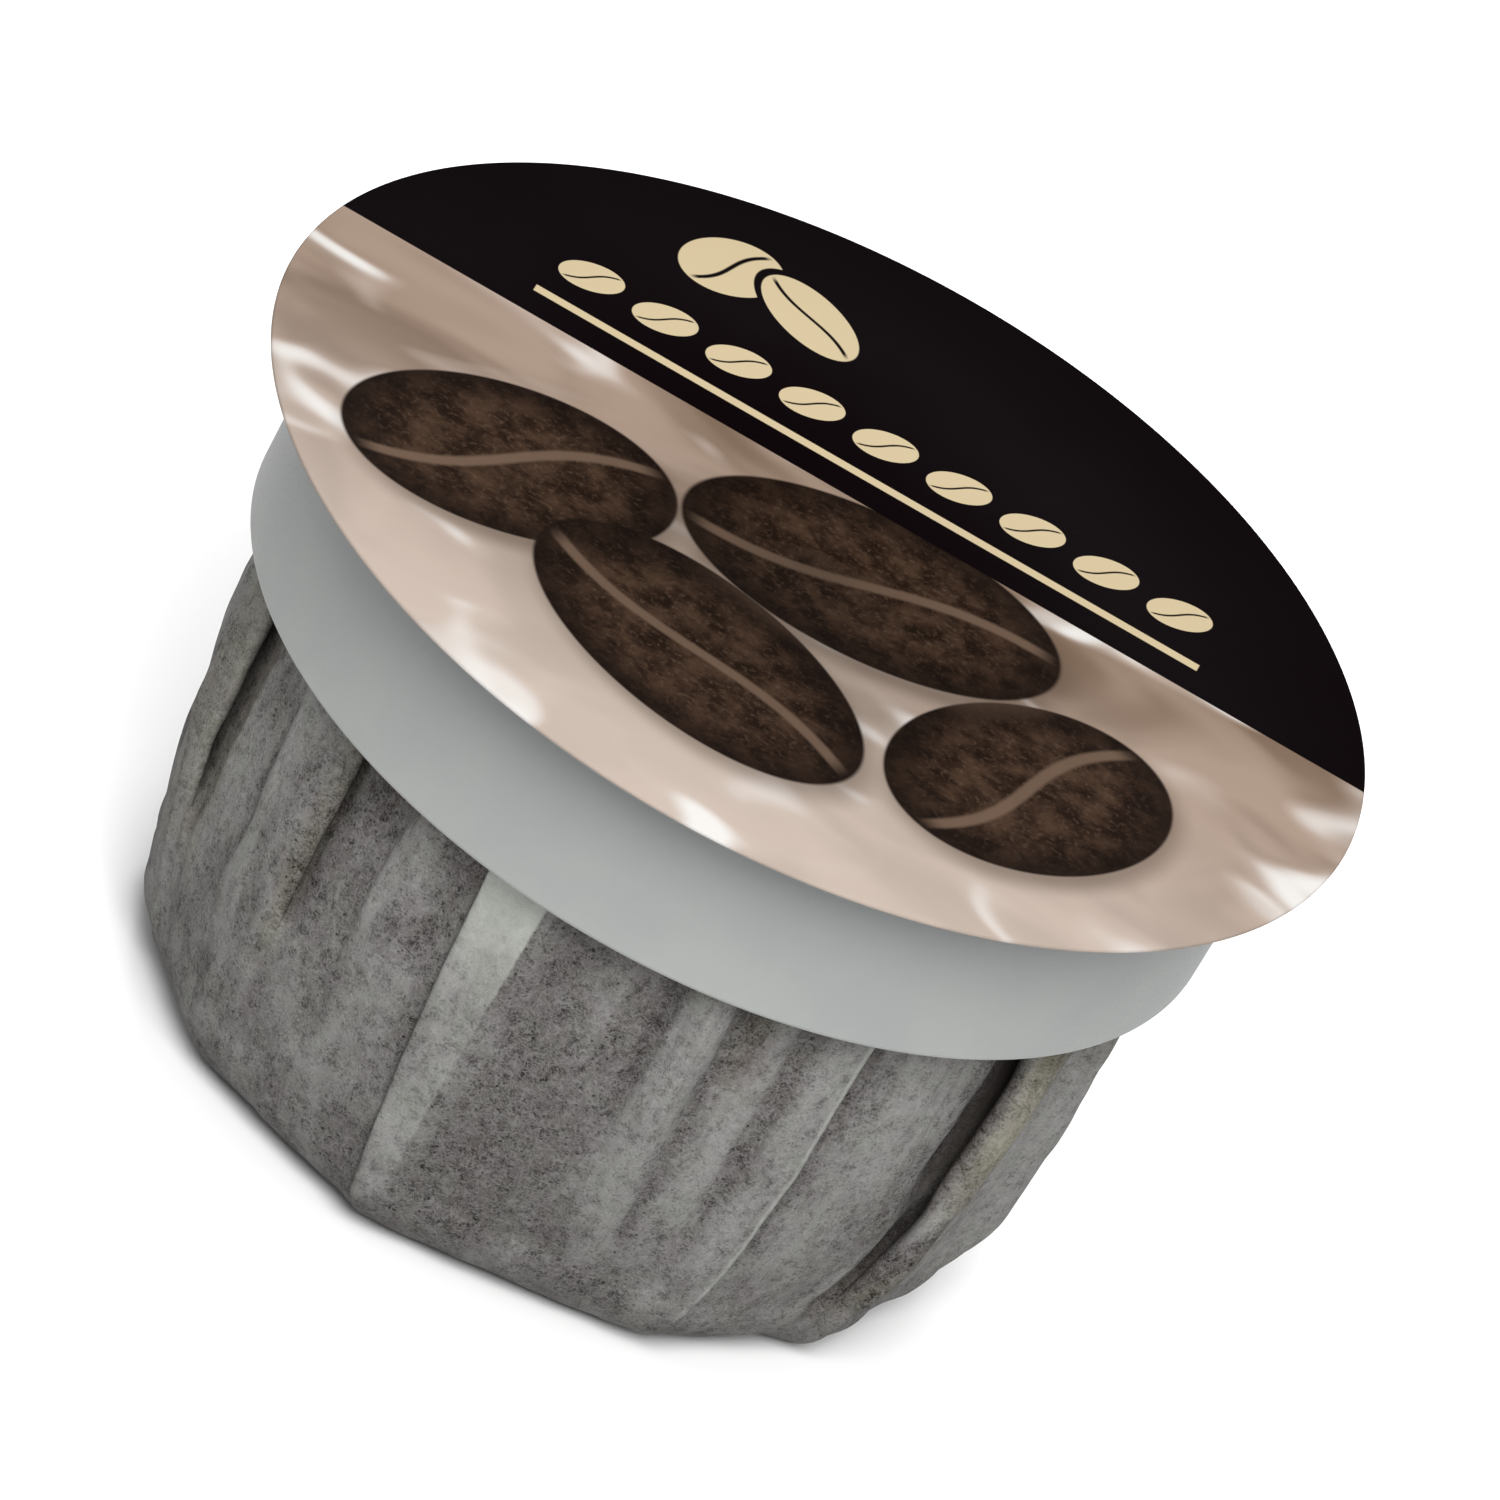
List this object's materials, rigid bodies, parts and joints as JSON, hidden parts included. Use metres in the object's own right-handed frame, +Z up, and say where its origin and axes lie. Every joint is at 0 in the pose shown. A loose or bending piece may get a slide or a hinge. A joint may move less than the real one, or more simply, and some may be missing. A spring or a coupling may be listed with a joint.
{
  "type": "coffee pod",
  "caption": "Sealed single-serve coffee pod: a flat printed lid on a moulded ring, with a pleated soft filter cup full of ground coffee below.",
  "frame": {"origin": "centre of the filter's flat base", "axes": "+Z up through the lid, -Y towards the side that the picture shows"},
  "size_m": [0.051, 0.051, 0.0296],
  "materials": {
    "lid_print": "satin printed film",
    "ring_plastic": "matte moulded",
    "filter_cloth": "non-woven fibre, slightly see-through",
    "ground_coffee": "loose dry grounds"
  },
  "bodies": {
    "root": {"lid": "lid_print", "ring": "ring_plastic", "filter": "filter_cloth", "coffee": "ground_coffee"}
  },
  "joints": []
}
